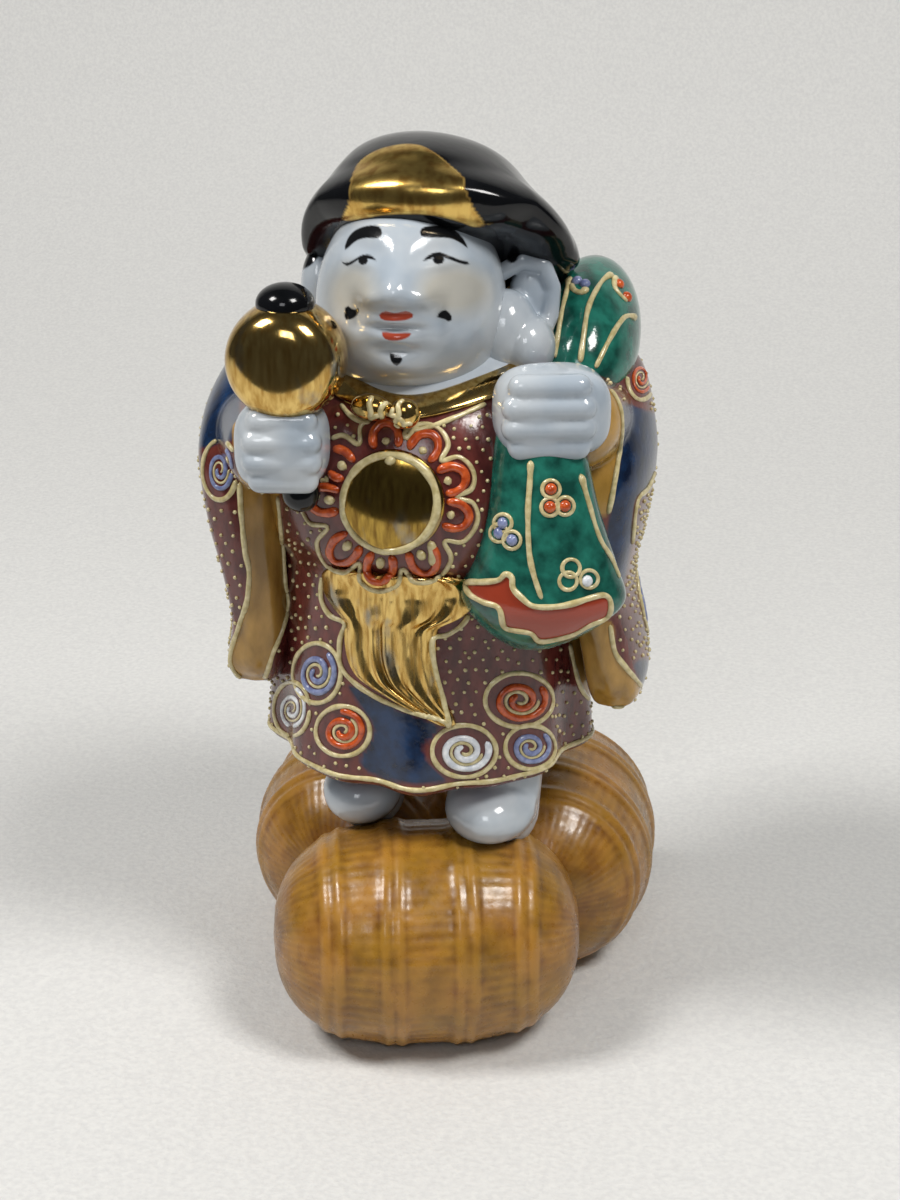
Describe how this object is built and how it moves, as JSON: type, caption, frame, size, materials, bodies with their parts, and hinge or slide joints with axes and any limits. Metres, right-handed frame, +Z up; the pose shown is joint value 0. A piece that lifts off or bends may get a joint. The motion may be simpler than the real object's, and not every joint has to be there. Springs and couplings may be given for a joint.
{
  "type": "daikoku figure",
  "caption": "Glazed porcelain figure of a luck deity with mallet and sack, standing on rice bales; it stands on its flat underside.",
  "frame": {"origin": "on the flat underside, under the middle of the figure", "axes": "+Z up along the standing figure, which looks along -Y, with its mallet on the -X side"},
  "size_m": [0.1025, 0.112, 0.2025],
  "materials": {
    "porcelain": "slip-cast porcelain with a clear gloss glaze, overglaze enamels, gold lustre and raised slip lines"
  },
  "bodies": {
    "root": {"daikoku_figure": "porcelain"}
  },
  "joints": []
}
